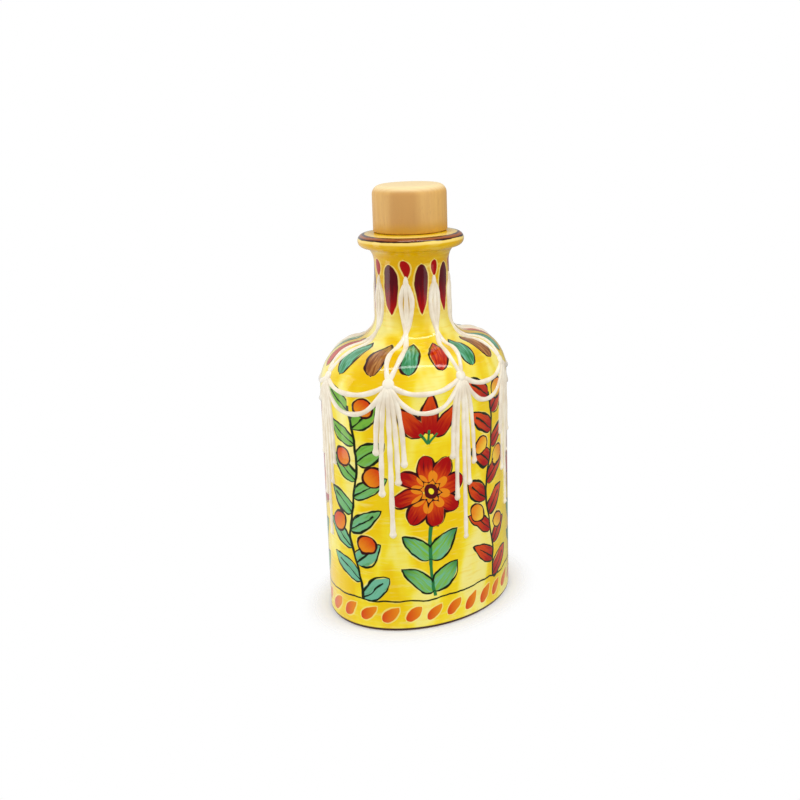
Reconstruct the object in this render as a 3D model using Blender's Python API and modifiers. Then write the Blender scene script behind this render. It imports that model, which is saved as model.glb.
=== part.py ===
"""An oval ceramic bottle for oil or vinegar, with its T-shaped stopper pushed into the neck.

The bottle is one cast wall: an oval body that runs over an S-curved shoulder into a round neck
with a rolled lip, hollow from its floor to its mouth. Trails of thick slip stand on its skin:
tassels that hang from knots, swags between them, and lines that climb to a leaf on the neck. The
stopper is a turned wooden head glued over a cork shank. Lengths are metres, +Z is up, +X is the
oval's long way, and the origin is on the table under the middle of the bottle.
"""

import math

import bmesh
import bpy
from mathutils import Vector

# Body and shoulder
BODY_LENGTH = 0.1020
BODY_WIDTH = 0.0800
BODY_SIDE_HEIGHT = 0.1090
SHOULDER_RISE = 0.0298
SHOULDER_ROUND_SHARE = 0.62
WALL = 0.0060
FLOOR_ROUND = 0.0060

# Foot
FOOT_EDGE_ROUND = 0.0012
FOOT_RING_WIDTH = 0.0070
FOOT_RECESS_SLOPE = 0.0020
FOOT_RECESS_DEPTH = 0.0020

# Neck and lip
BORE_RADIUS = 0.0113
NECK_WALL = 0.0062
NECK_TAPER = 0.0003
NECK_LENGTH = 0.0240
COVE_HEIGHT = 0.0070
LIP_OVERHANG = 0.0069
LIP_THICKNESS = 0.0068
LIP_EDGE_ROUND = 0.0030
SEAT_SLOPE = 0.0038
SEAT_RISE = 0.0007
MOUTH_ROUND = 0.0012

# Slip trails, laid out on the skin as lengths round it and up it
TASSELS = 8
TRAIL_WIDTH = 0.0023
TRAIL_RELIEF = 0.0008
TRAIL_SECTION_SHARES = ((-1.35, -1.0), (-0.6, 1.0), (0.6, 1.0), (1.35, -1.0))
TRAIL_TIP_SHARE = 0.45
BEAD_SHARES = ((1.4, 0.9), (0.5, 1.35), (0.0, 0.45))
KNOT_RISE = 0.0075
KNOT_RADIUS = 0.0026
KNOT_RELIEF = 0.0011
KNOT_SECTION_SHARES = ((1.15, -1.0), (0.9, 0.5), (0.5, 1.0))
SWAG_SAG = 0.0135
SWAG_SAG_SHARES = (1.0, 0.4)
SWAG_PLACE_SHARES = (
    (0.04, 0.14),
    (0.14, 0.53),
    (0.30, 0.89),
    (0.50, 1.00),
    (0.70, 0.89),
    (0.86, 0.53),
    (0.96, 0.14),
)
TASSEL_LENGTH = 0.0740
STRAND_LENGTH_SHARES = (0.48, 0.74, 1.0, 0.66, 0.54)
STRAND_SPACING = 0.0034
STRAND_PLACE_SHARES = ((0.12, 0.03), (0.62, 0.24), (1.0, 1.0))
LEAF_HALF_WIDTH = 0.0024
LINE_PLACE_SHARES = (
    (0.10, 0.03),
    (1.10, 0.30),
    (0.90, 0.57),
    (0.00, 0.83),
    (-0.85, 1.08),
    (-0.95, 1.26),
    (-0.15, 1.44),
)
RIB_PLACE_SHARES = ((0.0, 0.86), (0.0, 1.15), (0.0, 1.52))
HAND_STRAY = 0.0030
SPREAD_STRAY_SHARE = 0.25
SWAG_STRAY_SHARE = 0.25
STRAY_TURN = 12.9

# Stopper
HEAD_OVERHANG = 0.0060
HEAD_HEIGHT = 0.0209
HEAD_TOP_ROUND = 0.0042
HEAD_CHAMFER = 0.0006
HEAD_SEAT_GAP = 0.0003
SOCKET_DEPTH = 0.0050
GLUE_GAP = 0.0003
SHANK_CLEARANCE = 0.0003
SHANK_REACH = 0.0240
SHANK_CHAMFER = 0.0016

# How finely the round shapes are cut
SIDES = 48
QUARTER_STEPS = 4
SHOULDER_STEPS = 6
INSIDE_STEPS = 4
ROUTE_STEPS = 2
KNOT_SIDES = 9
SHARP_ANGLE = math.radians(35)
MERGE_DISTANCE = 0.00001

# Finishes: base colour and roughness
GLAZE = ((0.90, 0.62, 0.03, 1.0), 0.12)
SLIP = ((0.93, 0.89, 0.86, 1.0), 0.12)
BEECH = ((0.75, 0.50, 0.23, 1.0), 0.48)
CORK = ((0.50, 0.30, 0.14, 1.0), 0.85)

# Sizes that follow from the ones above
NECK_RADIUS = BORE_RADIUS + NECK_WALL
LIP_RADIUS = NECK_RADIUS + LIP_OVERHANG
NECK_FOOT_HEIGHT = BODY_SIDE_HEIGHT + SHOULDER_RISE
COVE_START_HEIGHT = NECK_FOOT_HEIGHT + NECK_LENGTH
LIP_UNDER_HEIGHT = COVE_START_HEIGHT + COVE_HEIGHT
LIP_TOP_HEIGHT = LIP_UNDER_HEIGHT + LIP_THICKNESS
RIM_TOP_HEIGHT = LIP_TOP_HEIGHT - SEAT_RISE
FLOOR_HEIGHT = FOOT_RECESS_DEPTH + WALL
SHANK_RADIUS = BORE_RADIUS - SHANK_CLEARANCE
SOCKET_RADIUS = SHANK_RADIUS + GLUE_GAP
HEAD_RADIUS = SHANK_RADIUS + HEAD_OVERHANG


def clear_scene():
    for old in list(bpy.data.objects):
        bpy.data.objects.remove(old)


def make_material(name, colour, roughness):
    material = bpy.data.materials.new(name)
    material.use_nodes = True
    shader = material.node_tree.nodes["Principled BSDF"]
    shader.inputs["Base Color"].default_value = colour
    shader.inputs["Roughness"].default_value = roughness
    shader.inputs["Metallic"].default_value = 0.0
    return material


def finish(piece, material):
    """Give the piece its material, smooth over its round faces and crisp at its corners."""
    piece.data.materials.append(material)
    piece.data.shade_smooth()
    piece.data.set_sharp_from_angle(angle=SHARP_ANGLE)


def quarter(start, end, leaves_flat):
    """Points of a quarter ellipse after start and up to end, which leaves start level or upright."""
    points = []
    for step in range(1, QUARTER_STEPS + 1):
        turn = math.pi / 2 * step / QUARTER_STEPS
        early, late = math.sin(turn), 1 - math.cos(turn)
        across, up = (early, late) if leaves_flat else (late, early)
        points.append((start[0] + (end[0] - start[0]) * across, start[1] + (end[1] - start[1]) * up))
    return points


def oval(inset, height):
    """A ring of the body, drawn in by the inset: its half length, half width and height."""
    return (BODY_LENGTH / 2 - inset, BODY_WIDTH / 2 - inset, height)


def shoulder_rings(inset, neck_radius, round_inset, steps):
    """The shoulder from the body's wall up to the neck: a convex arc that turns into a hollow one.

    The two arcs meet at a slant and are drawn for the oval's average run in to the neck. Each
    ring keeps its share of that run, so the oval melts into the neck's circle on the way up.
    """
    run = (BODY_LENGTH + BODY_WIDTH) / 4 - inset - neck_radius
    both_radii = (run**2 + SHOULDER_RISE**2) / (2 * run)
    convex = SHOULDER_ROUND_SHARE * both_radii - round_inset
    hollow = both_radii - convex
    sweep = math.acos(1 - run / both_radii)
    turns = [sweep * step / steps for step in range(steps + 1)]
    arcs = [(run - convex * (1 - math.cos(t)), BODY_SIDE_HEIGHT + convex * math.sin(t)) for t in turns]
    for t in turns[-2::-1]:
        arcs.append((hollow * (1 - math.cos(t)), NECK_FOOT_HEIGHT - hollow * math.sin(t)))
    half_length, half_width, _ = oval(inset, BODY_SIDE_HEIGHT)
    rings = []
    for out, height in arcs:
        share = out / run
        along = neck_radius + share * (half_length - neck_radius)
        across = neck_radius + share * (half_width - neck_radius)
        rings.append((along, across, height))
    return rings


def foot_rings():
    """The recess under the bottle, the flat ring that it stands on, and the base's soft edge."""
    ring_inside = FOOT_EDGE_ROUND + FOOT_RING_WIDTH
    rings = [
        oval(ring_inside + FOOT_RECESS_SLOPE, FOOT_RECESS_DEPTH),
        oval(ring_inside, 0),
        oval(FOOT_EDGE_ROUND, 0),
    ]
    for inset, height in quarter((FOOT_EDGE_ROUND, 0), (0, FOOT_EDGE_ROUND), leaves_flat=True):
        rings.append(oval(inset, height))
    return rings


def neck_rings():
    """The cove under the lip, its rolled edge, the seat that its top rises to, and the mouth."""
    neck_top = (NECK_RADIUS - NECK_TAPER, COVE_START_HEIGHT)
    under_edge = (LIP_RADIUS - LIP_EDGE_ROUND, LIP_UNDER_HEIGHT)
    rim = (LIP_RADIUS, (LIP_UNDER_HEIGHT + RIM_TOP_HEIGHT) / 2)
    top_edge = (LIP_RADIUS - LIP_EDGE_ROUND, RIM_TOP_HEIGHT)
    seat_edge = (LIP_RADIUS - LIP_EDGE_ROUND - SEAT_SLOPE, LIP_TOP_HEIGHT)
    mouth = (BORE_RADIUS + MOUTH_ROUND, LIP_TOP_HEIGHT)
    bore_top = (BORE_RADIUS, LIP_TOP_HEIGHT - MOUTH_ROUND)
    points = [neck_top]
    points += quarter(neck_top, under_edge, leaves_flat=False)
    points += quarter(under_edge, rim, leaves_flat=True)
    points += quarter(rim, top_edge, leaves_flat=False)
    points += [seat_edge, mouth]
    points += quarter(mouth, bore_top, leaves_flat=True)
    return [(radius, radius, height) for radius, height in points]


def floor_rings():
    """The lowest of the inner wall, and the soft corner where it meets the floor."""
    wall_end = (WALL, FLOOR_HEIGHT + FLOOR_ROUND)
    floor_edge = (WALL + FLOOR_ROUND, FLOOR_HEIGHT)
    corner = [wall_end] + quarter(wall_end, floor_edge, leaves_flat=False)
    return [oval(inset, height) for inset, height in corner]


def bottle_rings():
    """Every ring of the bottle's skin: from under its middle, up its outside, and down inside."""
    inside = shoulder_rings(WALL, BORE_RADIUS, WALL, INSIDE_STEPS)
    return (
        foot_rings()
        + shoulder_rings(0, NECK_RADIUS, 0, SHOULDER_STEPS)
        + neck_rings()
        + inside[::-1]
        + floor_rings()
    )


class Skin:
    """The bottle's outer skin below the lip, on which the slip trails are laid out.

    A place on it is the share of the way round, by the body's girth, and the length up the skin,
    which is the height above the table as far as the shoulder.
    """

    def __init__(self):
        neck_top = NECK_RADIUS - NECK_TAPER
        self.rings = [oval(0, 0), *shoulder_rings(0, NECK_RADIUS, 0, SHOULDER_STEPS)]
        self.rings.append((neck_top, neck_top, COVE_START_HEIGHT))
        self.lengths = [0.0]
        for lower, upper in zip(self.rings, self.rings[1:]):
            out = (upper[0] + upper[1] - lower[0] - lower[1]) / 2
            self.lengths.append(self.lengths[-1] + math.hypot(out, upper[2] - lower[2]))
        self.neck_foot = self.lengths[-2]
        self.knot = BODY_SIDE_HEIGHT + KNOT_RISE
        turns = [math.tau * side / SIDES for side in range(SIDES + 1)]
        half_length, half_width, _ = self.rings[0]
        corners = [(half_length * math.cos(t), half_width * math.sin(t)) for t in turns]
        self.around = [0.0]
        for here, there in zip(corners, corners[1:]):
            self.around.append(self.around[-1] + math.dist(here, there))
        self.girth = self.around[-1]

    def ring(self, up):
        """The ring at this length up the skin: its half length, half width and height."""
        step = max(s for s in range(len(self.rings) - 1) if self.lengths[s] <= up)
        part = (up - self.lengths[step]) / (self.lengths[step + 1] - self.lengths[step])
        return Vector(self.rings[step]).lerp(Vector(self.rings[step + 1]), part)

    def point(self, share, up):
        gone = share % 1 * self.girth
        side = max(s for s in range(SIDES) if self.around[s] <= gone)
        side += (gone - self.around[side]) / (self.around[side + 1] - self.around[side])
        angle = math.tau * side / SIDES
        half_length, half_width, height = self.ring(up)
        return Vector((half_length * math.cos(angle), half_width * math.sin(angle), height))

    def normal(self, share, up):
        step = TRAIL_WIDTH / 2
        ahead = self.point(share + step / self.girth, up) - self.point(share - step / self.girth, up)
        above = self.point(share, up + step) - self.point(share, up - step)
        return ahead.cross(above).normalized()

    def beside(self, share, across, up):
        """The place at this length across from another, on the ring at this length up."""
        ring, base = self.ring(up), self.rings[0]
        return share + across / self.girth * (base[0] + base[1]) / (ring.x + ring.y), up


def stray(number):
    """How far the hand that squeezes the slip strays on trail or length number, up or down."""
    return HAND_STRAY * math.sin(number * STRAY_TURN)


def swag(skin, tassel, sag_share):
    """A line that hangs from one knot to the next."""
    sag = SWAG_SAG * sag_share + stray(tassel + sag_share) * SWAG_STRAY_SHARE
    return [
        ((tassel + 0.5 + along_share) / TASSELS, skin.knot - sag * down_share)
        for along_share, down_share in SWAG_PLACE_SHARES
    ]


def knot(skin, tassel):
    """The low dome where a tassel's trails meet, from its foot in the skin up to its flat top."""
    share = (tassel + 0.5) / TASSELS
    middle, out = skin.point(share, skin.knot), skin.normal(share, skin.knot)
    level = Vector((0, 0, 1)).cross(out).normalized()
    upward = out.cross(level)
    sections = []
    for radius_share, out_share in KNOT_SECTION_SHARES:
        turns = [math.tau * side / KNOT_SIDES for side in range(KNOT_SIDES)]
        sections.append([
            middle
            + (level * math.cos(t) + upward * math.sin(t)) * KNOT_RADIUS * radius_share
            + out * KNOT_RELIEF * out_share
            for t in turns
        ])
    return sections


def strand(skin, tassel, number):
    """One strand of a tassel, from its knot down to the bead where the nozzle stopped."""
    along = number - (len(STRAND_LENGTH_SHARES) - 1) / 2
    length = TASSEL_LENGTH * STRAND_LENGTH_SHARES[number] + stray(tassel * TASSELS + number)
    spread = along * STRAND_SPACING + stray(tassel + number * TASSELS) * SPREAD_STRAY_SHARE
    knot = (tassel + 0.5) / TASSELS
    return [
        skin.beside(knot, spread * across_share, skin.knot - length * down_share)
        for across_share, down_share in STRAND_PLACE_SHARES
    ]


def climbing(skin, tassel, mirror, shares):
    """A line from a knot over the shoulder to the neck's leaf, from its shares of both sizes."""
    climb = skin.neck_foot - skin.knot
    knot = (tassel + 0.5) / TASSELS
    return [
        skin.beside(knot, mirror * LEAF_HALF_WIDTH * across_share, skin.knot + climb * up_share)
        for across_share, up_share in shares
    ]


def cover(name, sections, collection):
    """Closed skins, each through its own row of sections, with a face over its first and last."""
    skin = bmesh.new()
    for row in sections:
        loops = [[skin.verts.new(corner) for corner in section] for section in row]
        for lower, upper in zip(loops, loops[1:]):
            for side, corner in enumerate(lower):
                after = (side + 1) % len(lower)
                skin.faces.new((corner, lower[after], upper[after], upper[side]))
        skin.faces.new(loops[0][::-1])
        skin.faces.new(loops[-1])
    mesh = bpy.data.meshes.new(name)
    skin.to_mesh(mesh)
    skin.free()
    piece = bpy.data.objects.new(name, mesh)
    collection.objects.link(piece)
    return piece


def ring_corners(half_length, half_width, height):
    turns = [math.tau * side / SIDES for side in range(SIDES)]
    return [(half_length * math.cos(t), half_width * math.sin(t), height) for t in turns]


def smoothed(route):
    """More places along a soft curve through a route's few."""
    padded = [route[0], *route, route[-1]]
    places = []
    for before, here, there, beyond in zip(padded, padded[1:], padded[2:], padded[3:]):
        for step in range(ROUTE_STEPS):
            t = step / ROUTE_STEPS
            bends = [
                h + t * (n - b + t * (2 * b - 5 * h + 4 * n - f + t * (3 * h - b - 3 * n + f))) / 2
                for b, h, n, f in zip(before, here, there, beyond)
            ]
            places.append(bends)
    return [*places, route[-1]]


def trail_section(skin, before, place, after, swell):
    """The corners of a trail's section: its foot sunk in the skin and its crest square to it."""
    along = (skin.point(*after) - skin.point(*before)).normalized()
    out = skin.normal(*place)
    across = along.cross(out)
    corners = []
    for across_share, out_share in TRAIL_SECTION_SHARES:
        step = across * across_share * TRAIL_WIDTH / 2 + out * out_share * TRAIL_RELIEF
        corners.append(skin.point(*place) + step * swell)
    return corners


def trail(skin, route, bead=False):
    """The sections of one trail, which ends in a low tip, or in a bead where the nozzle stopped."""
    swells = [1.0] * (len(route) - 1) + [TRAIL_TIP_SHARE]
    if bead:
        share, end = route[-1]
        route = route[:-1] + [(share, end + back * TRAIL_WIDTH) for back, _ in BEAD_SHARES]
        swells = swells[:-1] + [swell for _, swell in BEAD_SHARES]
    padded = [route[0], *route, route[-1]]
    return [
        trail_section(skin, before, place, after, swell)
        for before, place, after, swell in zip(padded, route, padded[2:], swells)
    ]


def add_trails(bottle, skin, material):
    """Every slip trail, fired onto the body: tassels, swags, climbing lines, leaf ribs and knots."""
    collection = bpy.data.collections.new("slip_trails")
    bpy.context.scene.collection.children.link(collection)
    tassels = range(TASSELS)
    pieces = []
    for sag_share in SWAG_SAG_SHARES:
        swags = [trail(skin, swag(skin, tassel, sag_share)) for tassel in tassels]
        pieces.append(cover(f"swags_{sag_share}", swags, collection))
    for number in range(len(STRAND_LENGTH_SHARES)):
        strands = [trail(skin, strand(skin, tassel, number), bead=True) for tassel in tassels]
        pieces.append(cover(f"strands_{number}", strands, collection))
    for mirror in (-1, 1):
        routes = [climbing(skin, tassel, mirror, LINE_PLACE_SHARES) for tassel in tassels]
        lines = [trail(skin, smoothed(route)) for route in routes]
        pieces.append(cover(f"lines_{mirror}", lines, collection))
    ribs = [trail(skin, climbing(skin, tassel, 0, RIB_PLACE_SHARES)) for tassel in tassels]
    pieces.append(cover("ribs", ribs, collection))
    knots = [knot(skin, tassel) for tassel in tassels]
    pieces.append(cover("knots", knots, collection))
    for piece in pieces:
        piece.data.materials.append(material)
        piece.hide_render = True
        piece.display_type = "WIRE"
    join = bottle.modifiers.new("slip_trails", "BOOLEAN")
    join.operation = "UNION"
    join.solver = "EXACT"
    join.material_mode = "TRANSFER"
    join.operand_type = "COLLECTION"
    join.collection = collection


def turn_on_lathe(name, profile, material, collection):
    """A turned piece, from its profile of radius and height, which runs down the outer side."""
    mesh = bpy.data.meshes.new(name)
    points = [(radius, 0, height) for radius, height in profile]
    mesh.from_pydata(points, [(i, i + 1) for i in range(len(points) - 1)], [])
    piece = bpy.data.objects.new(name, mesh)
    collection.objects.link(piece)
    screw = piece.modifiers.new("turning", "SCREW")
    screw.axis = "Z"
    screw.angle = math.tau
    screw.steps = SIDES
    screw.render_steps = SIDES
    screw.use_merge_vertices = True
    screw.merge_threshold = MERGE_DISTANCE
    bpy.context.view_layer.objects.active = piece
    bpy.ops.object.modifier_apply(modifier=screw.name)
    finish(piece, material)
    return piece


def head_profile():
    """The head from the middle of its top, down its side, and up into the socket for the shank."""
    top_edge = (HEAD_RADIUS - HEAD_TOP_ROUND, HEAD_HEIGHT)
    side_top = (HEAD_RADIUS, HEAD_HEIGHT - HEAD_TOP_ROUND)
    return (
        [(0, HEAD_HEIGHT), top_edge]
        + quarter(top_edge, side_top, leaves_flat=True)
        + [(HEAD_RADIUS, HEAD_CHAMFER), (HEAD_RADIUS - HEAD_CHAMFER, 0)]
        + [(SOCKET_RADIUS, 0), (SOCKET_RADIUS, SOCKET_DEPTH), (0, SOCKET_DEPTH)]
    )


def shank_profile():
    """The cork from its glued top, down its side, to the chamfer that leads it into the neck."""
    glued_top = SOCKET_DEPTH - GLUE_GAP
    return [
        (0, glued_top),
        (SHANK_RADIUS, glued_top),
        (SHANK_RADIUS, SHANK_CHAMFER - SHANK_REACH),
        (SHANK_RADIUS - SHANK_CHAMFER, -SHANK_REACH),
        (0, -SHANK_REACH),
    ]


def build_bottle():
    clear_scene()
    collection = bpy.data.collections.new("oil_and_vinegar_bottle")
    bpy.context.scene.collection.children.link(collection)
    rings = [ring_corners(*ring) for ring in bottle_rings()]
    bottle = cover("bottle_body", [rings], collection)
    finish(bottle, make_material("glaze", *GLAZE))
    add_trails(bottle, Skin(), make_material("slip", *SLIP))

    # The stopper slides on the neck's axis, so its pieces hang from an empty at its seat.
    slide = bpy.data.objects.new("stopper_slide", None)
    slide.location = (0, 0, LIP_TOP_HEIGHT + HEAD_SEAT_GAP)
    collection.objects.link(slide)
    head = turn_on_lathe("stopper_head", head_profile(), make_material("beech", *BEECH), collection)
    shank = turn_on_lathe("stopper_shank", shank_profile(), make_material("cork", *CORK), collection)
    head.parent = slide
    shank.parent = slide


build_bottle()
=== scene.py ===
import math

import bpy
from mathutils import Matrix, Vector


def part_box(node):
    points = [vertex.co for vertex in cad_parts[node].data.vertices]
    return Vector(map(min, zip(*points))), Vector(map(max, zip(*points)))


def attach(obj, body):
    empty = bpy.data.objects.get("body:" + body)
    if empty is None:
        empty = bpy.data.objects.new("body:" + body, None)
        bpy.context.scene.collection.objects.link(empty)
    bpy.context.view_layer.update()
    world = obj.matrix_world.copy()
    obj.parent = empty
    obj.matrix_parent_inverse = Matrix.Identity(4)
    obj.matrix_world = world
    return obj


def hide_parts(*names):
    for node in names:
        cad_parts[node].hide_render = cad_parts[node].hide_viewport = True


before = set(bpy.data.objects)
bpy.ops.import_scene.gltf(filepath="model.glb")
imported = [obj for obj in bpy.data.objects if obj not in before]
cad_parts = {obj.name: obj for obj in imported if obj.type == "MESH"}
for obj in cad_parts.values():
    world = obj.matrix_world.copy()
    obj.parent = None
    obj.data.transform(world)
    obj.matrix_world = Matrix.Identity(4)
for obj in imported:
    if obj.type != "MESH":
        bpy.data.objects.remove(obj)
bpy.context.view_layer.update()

# Bottle body: one slip-cast wall of white earthenware, oval below, with an S-curved shoulder that
# melts into a round neck, a rolled lip and a recessed foot. It is drawn ring by ring, from under
# its middle up the outside, over the lip and down the inside to the floor.
SIDES = 128
SIDE_STEPS = 12
QUARTER_STEPS = 8
SHOULDER_STEPS = 14
SHARP_ANGLE = math.radians(40)

TRAIL_RELIEF = 0.0008
_, bottle_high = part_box("bottle_body")
HALF_LENGTH = bottle_high.x - TRAIL_RELIEF
HALF_WIDTH = bottle_high.y - TRAIL_RELIEF
LIP_TOP = bottle_high.z
WALL = 0.0060
SIDE_HEIGHT = 0.1090
SHOULDER_RISE = 0.0298
SHOULDER_ROUND_SHARE = 0.62
FLOOR_ROUND = 0.0060
FOOT_EDGE_ROUND = 0.0012
FOOT_RING_WIDTH = 0.0070
FOOT_RECESS_SLOPE = 0.0020
FOOT_RECESS_DEPTH = 0.0020
BORE_RADIUS = 0.0113
NECK_RADIUS = 0.0175
NECK_TAPER = 0.0003
COVE_HEIGHT = 0.0070
LIP_RADIUS = 0.0244
LIP_THICKNESS = 0.0068
LIP_EDGE_ROUND = 0.0030
SEAT_SLOPE = 0.0038
SEAT_RISE = 0.0007
MOUTH_ROUND = 0.0012
SHOULDER_TOP = SIDE_HEIGHT + SHOULDER_RISE
LIP_UNDER = LIP_TOP - LIP_THICKNESS
RIM_TOP = LIP_TOP - SEAT_RISE
FLOOR_HEIGHT = FOOT_RECESS_DEPTH + WALL


def quarter(start, end, leaves_flat):
    """Points of a quarter ellipse, all but its start, which sets out level or upright."""
    points = []
    for step in range(1, QUARTER_STEPS + 1):
        turn = math.pi / 2 * step / QUARTER_STEPS
        early, late = math.sin(turn), 1 - math.cos(turn)
        across, up = (early, late) if leaves_flat else (late, early)
        along = start[0] + (end[0] - start[0]) * across
        points.append((along, start[1] + (end[1] - start[1]) * up))
    return points


def oval(inset, height):
    return (HALF_LENGTH - inset, HALF_WIDTH - inset, height)


def shoulder_rings(inset, neck_radius, round_inset):
    """Rings over the shoulder: a convex arc, then a hollow one, blending from oval to round."""
    run = (HALF_LENGTH + HALF_WIDTH) / 2 - inset - neck_radius
    both_radii = (run**2 + SHOULDER_RISE**2) / (2 * run)
    convex = SHOULDER_ROUND_SHARE * both_radii - round_inset
    hollow = both_radii - convex
    sweep = math.acos(1 - run / both_radii)
    turns = [sweep * step / SHOULDER_STEPS for step in range(SHOULDER_STEPS + 1)]
    arcs = [(run - convex * (1 - math.cos(t)), SIDE_HEIGHT + convex * math.sin(t)) for t in turns]
    for t in turns[-2::-1]:
        arcs.append((hollow * (1 - math.cos(t)), SHOULDER_TOP - hollow * math.sin(t)))
    rings = []
    for out, height in arcs:
        share = out / run
        along = neck_radius + share * (HALF_LENGTH - inset - neck_radius)
        across = neck_radius + share * (HALF_WIDTH - inset - neck_radius)
        rings.append((along, across, height))
    return rings


ring_inside = FOOT_EDGE_ROUND + FOOT_RING_WIDTH
foot_rings = [
    oval(ring_inside + FOOT_RECESS_SLOPE, FOOT_RECESS_DEPTH),
    oval(ring_inside, 0),
    oval(FOOT_EDGE_ROUND, 0),
]
edge = quarter((FOOT_EDGE_ROUND, 0), (0, FOOT_EDGE_ROUND), leaves_flat=True)
foot_rings += [oval(inset, height) for inset, height in edge]
side_rings = [
    oval(0, FOOT_EDGE_ROUND + (SIDE_HEIGHT - FOOT_EDGE_ROUND) * step / SIDE_STEPS)
    for step in range(1, SIDE_STEPS)
]
cove_start = (NECK_RADIUS - NECK_TAPER, LIP_UNDER - COVE_HEIGHT)
under_edge = (LIP_RADIUS - LIP_EDGE_ROUND, LIP_UNDER)
rim = (LIP_RADIUS, (LIP_UNDER + RIM_TOP) / 2)
top_edge = (LIP_RADIUS - LIP_EDGE_ROUND, RIM_TOP)
seat_edge = (LIP_RADIUS - LIP_EDGE_ROUND - SEAT_SLOPE, LIP_TOP)
mouth = (BORE_RADIUS + MOUTH_ROUND, LIP_TOP)
bore_top = (BORE_RADIUS, LIP_TOP - MOUTH_ROUND)
neck_points = [cove_start]
neck_points += quarter(cove_start, under_edge, leaves_flat=False)
neck_points += quarter(under_edge, rim, leaves_flat=True)
neck_points += quarter(rim, top_edge, leaves_flat=False)
neck_points += [seat_edge, mouth]
neck_points += quarter(mouth, bore_top, leaves_flat=True)
neck_rings = [(radius, radius, height) for radius, height in neck_points]
outer_rings = foot_rings + side_rings + shoulder_rings(0, NECK_RADIUS, 0) + neck_rings
wall_end = (WALL, FLOOR_HEIGHT + FLOOR_ROUND)
floor_edge = (WALL + FLOOR_ROUND, FLOOR_HEIGHT)
floor_rings = [oval(*wall_end)]
floor_rings += [oval(*place) for place in quarter(wall_end, floor_edge, leaves_flat=False)]
inner_rings = shoulder_rings(WALL, BORE_RADIUS, WALL)[::-1] + floor_rings
rings = outer_rings + inner_rings

bpy.ops.object.select_all(action="DESELECT")
bpy.ops.mesh.primitive_circle_add(vertices=SIDES, radius=1, location=(0, 0, rings[0][2]))
bottle = bpy.context.active_object
bottle.name = "glazed_bottle"
bpy.ops.object.mode_set(mode="EDIT")
bpy.ops.mesh.select_all(action="SELECT")
bpy.ops.transform.resize(value=(rings[0][0], rings[0][1], 1))
for before, after in zip(rings, rings[1:]):
    rise = after[2] - before[2]
    bpy.ops.mesh.extrude_edges_move(TRANSFORM_OT_translate={"value": (0, 0, rise)})
    bpy.ops.transform.resize(value=(after[0] / before[0], after[1] / before[1], 1))
bpy.ops.mesh.edge_face_add()
bpy.ops.mesh.select_all(action="DESELECT")
bpy.ops.mesh.select_non_manifold()
bpy.ops.mesh.edge_face_add()
bpy.ops.mesh.select_all(action="SELECT")
bpy.ops.mesh.normals_make_consistent(inside=False)
bpy.ops.object.mode_set(mode="OBJECT")
bpy.ops.object.transform_apply(location=True, rotation=True, scale=True)
bpy.ops.object.shade_smooth_by_angle(angle=SHARP_ANGLE)
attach(bottle, "bottle")
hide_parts("bottle_body")

# The wall's own map, on which the decoration is laid out as a painter would measure it: U is the
# share of the way round the oval, by length, and V is the length up the outer skin in metres,
# which is the height above the table as far as the shoulder.
round_shares = [0]
for side in range(SIDES):
    here, there = (
        (HALF_LENGTH * math.cos(turn), HALF_WIDTH * math.sin(turn))
        for turn in (math.tau * side / SIDES, math.tau * (side + 1) / SIDES)
    )
    round_shares.append(round_shares[-1] + math.dist(here, there))
PERIMETER = round_shares[-1]
round_shares = [length / PERIMETER for length in round_shares]

skin_lengths = [0]
for before, after in zip(rings, rings[1:]):
    out = (after[0] + after[1] - before[0] - before[1]) / 2
    skin_lengths.append(skin_lengths[-1] + math.hypot(out, after[2] - before[2]))
foot_length = skin_lengths[len(foot_rings) - 1] - FOOT_EDGE_ROUND
skin_lengths = [length - foot_length for length in skin_lengths]

HEIGHT_DIGITS = 5
HEIGHT_STEP = 0.00001
rings_at_height = {}
for ring, length in zip(rings, skin_lengths):
    rings_at_height.setdefault(round(ring[2], HEIGHT_DIGITS), []).append((ring, length))


def wall_place(point):
    """The side number and skin length of one of the bottle's corners."""

    def miss(found):
        half_length, half_width = found[0][:2]
        return abs(math.hypot(point.x / half_length, point.y / half_width) - 1)

    heights = [round(point.z + step, HEIGHT_DIGITS) for step in (-HEIGHT_STEP, 0, HEIGHT_STEP)]
    near = [found for height in heights for found in rings_at_height.get(height, [])]
    ring, length = min(near, key=miss)
    turn = math.atan2(point.y / ring[1], point.x / ring[0])
    return round(turn / math.tau * SIDES) % SIDES, length


wall_map = bottle.data.uv_layers.new(name="wall")
places = [wall_place(corner.co) for corner in bottle.data.vertices]
for face in bottle.data.polygons:
    sides = [places[corner][0] for corner in face.vertices]
    wraps = max(sides) - min(sides) > SIDES / 2
    for loop, corner in zip(face.loop_indices, face.vertices):
        side, length = places[corner]
        if wraps and side == 0:
            side = SIDES
        wall_map.data[loop].uv = (round_shares[side], length)


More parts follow.
